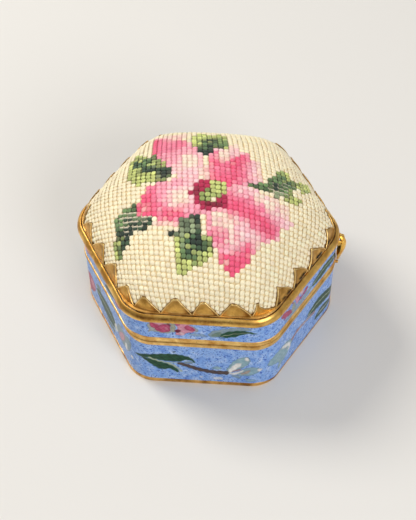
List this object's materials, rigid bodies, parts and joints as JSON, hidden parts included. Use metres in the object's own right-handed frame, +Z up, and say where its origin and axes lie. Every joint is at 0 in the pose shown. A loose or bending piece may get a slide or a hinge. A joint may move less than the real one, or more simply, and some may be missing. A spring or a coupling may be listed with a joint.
{
  "type": "trinket box",
  "caption": "Hexagonal enamelled trinket box with gilt rims, a hinged lid with a needlepoint cushion held by prongs, and a corner hasp.",
  "frame": {"origin": "centre of the flat underside", "axes": "+Z up; +X towards the corner with the hasp; the front flat faces -Y"},
  "size_m": [0.0662, 0.0562, 0.0435],
  "materials": {
    "gilt_brass": "gilt brass, polished on the edges and dulled in the corners",
    "painted_enamel": "glossy cornflower blue enamel on copper, hand-painted with flower sprigs",
    "plain_enamel": "glossy plain blue enamel on copper",
    "needlepoint": "petit point in cotton thread, cream ground with a pink flower and green leaves",
    "wadding": "white cotton wadding",
    "backing_card": "plain grey-brown card"
  },
  "bodies": {
    "base": {"base_floor": "plain_enamel", "base_foot_rim": "gilt_brass", "base_wall": "painted_enamel", "base_mouth_rim": "gilt_brass", "base_collar": "gilt_brass", "hinge_base_leaf": "gilt_brass", "hinge_pin": "gilt_brass", "clasp_keeper": "gilt_brass"},
    "lid": {"lid_mouth_rim": "gilt_brass", "lid_wall": "painted_enamel", "lid_bezel": "gilt_brass", "lid_deck": "gilt_brass", "prong_collar": "gilt_brass", "cushion_card": "backing_card", "cushion_padding": "wadding", "needlepoint_cover": "needlepoint", "hinge_lid_leaf": "gilt_brass", "clasp_bracket": "gilt_brass", "clasp_pin": "gilt_brass"},
    "hasp": {"clasp_hasp": "gilt_brass"}
  },
  "joints": [
    {"name": "lid_hinge", "type": "hinge", "parent": "base", "child": "lid", "pos_m": [-0.02599, 0.01474, 0.0177], "axis": [-0.5077, -0.8616, 0], "range_deg": [0, 105]},
    {"name": "clasp_pivot", "type": "hinge", "parent": "lid", "child": "hasp", "pos_m": [0.03236, 0, 0.0252], "axis": [0, -1, 0], "range_deg": [0, 80]}
  ]
}
